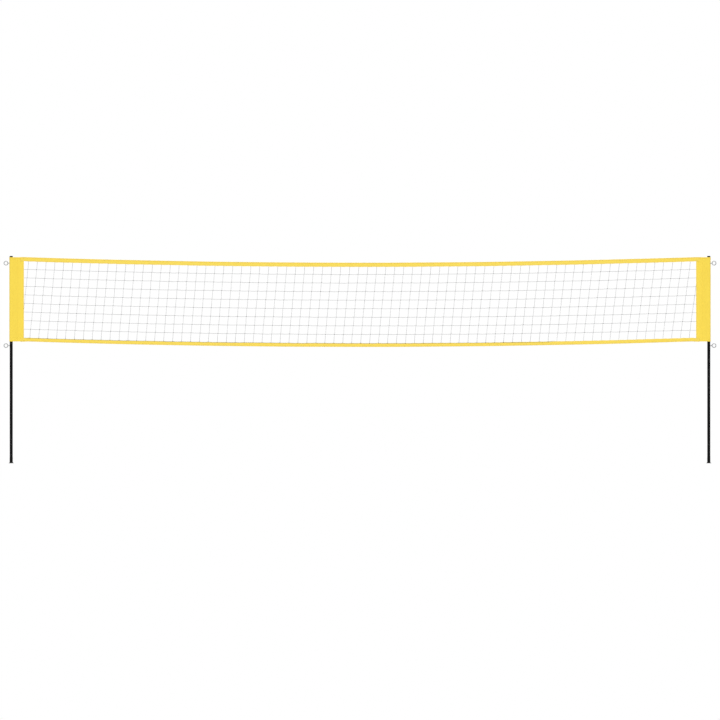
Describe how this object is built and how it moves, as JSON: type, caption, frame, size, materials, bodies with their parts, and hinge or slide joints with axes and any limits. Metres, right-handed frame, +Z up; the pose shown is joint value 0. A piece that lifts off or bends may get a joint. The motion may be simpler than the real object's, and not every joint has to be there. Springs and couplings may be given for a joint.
{
  "type": "volleyball net on poles",
  "caption": "Volleyball net with fabric side bands whose sleeves fit over push-together poles, each standing on a small round foot, with guy-rope eyes facing outwards.",
  "frame": {"origin": "on the ground, midway between the two poles, in the plane of the net", "axes": "+X along the net, +Y through the net, +Z up"},
  "size_m": [8.389, 0.057, 2.44],
  "materials": {
    "black_paint": "satin black powder coat on steel tube",
    "foot_rubber": "moulded matt rubber",
    "cap_plastic": "moulded matt",
    "galvanised_steel": "zinc plated",
    "plated_steel": "zinc plated",
    "yellow_fabric": "coated woven polyester tape",
    "black_twine": "twisted polyethylene twine, knotted",
    "white_cord": "braided cord"
  },
  "bodies": {
    "legs": {"left_foot": "foot_rubber", "right_foot": "foot_rubber", "left_pole_bottom": "black_paint", "right_pole_bottom": "black_paint"},
    "middles": {"left_pole_middle": "black_paint", "right_pole_middle": "black_paint", "left_lower_eye_bolt": "galvanised_steel", "right_lower_eye_bolt": "galvanised_steel", "lower_thread_inserts": "plated_steel"},
    "net_and_tops": {"left_pole_top": "black_paint", "right_pole_top": "black_paint", "left_top_cap": "cap_plastic", "right_top_cap": "cap_plastic", "left_upper_eye_bolt": "galvanised_steel", "right_upper_eye_bolt": "galvanised_steel", "upper_thread_inserts": "plated_steel", "left_sleeve_eyelet": "plated_steel", "right_sleeve_eyelet": "plated_steel", "left_net_band": "yellow_fabric", "right_net_band": "yellow_fabric", "top_tape": "yellow_fabric", "bottom_tape": "yellow_fabric", "net_mesh": "black_twine", "headline_cord": "white_cord", "footline_cord": "white_cord"}
  },
  "joints": [
    {"name": "middle_sections_pull_out", "type": "slide", "parent": "legs", "child": "middles", "axis": [0, 0, 1], "range_m": [0, 0.07]},
    {"name": "top_sections_pull_out", "type": "slide", "parent": "middles", "child": "net_and_tops", "axis": [0, 0, 1], "range_m": [0, 0.07]}
  ]
}
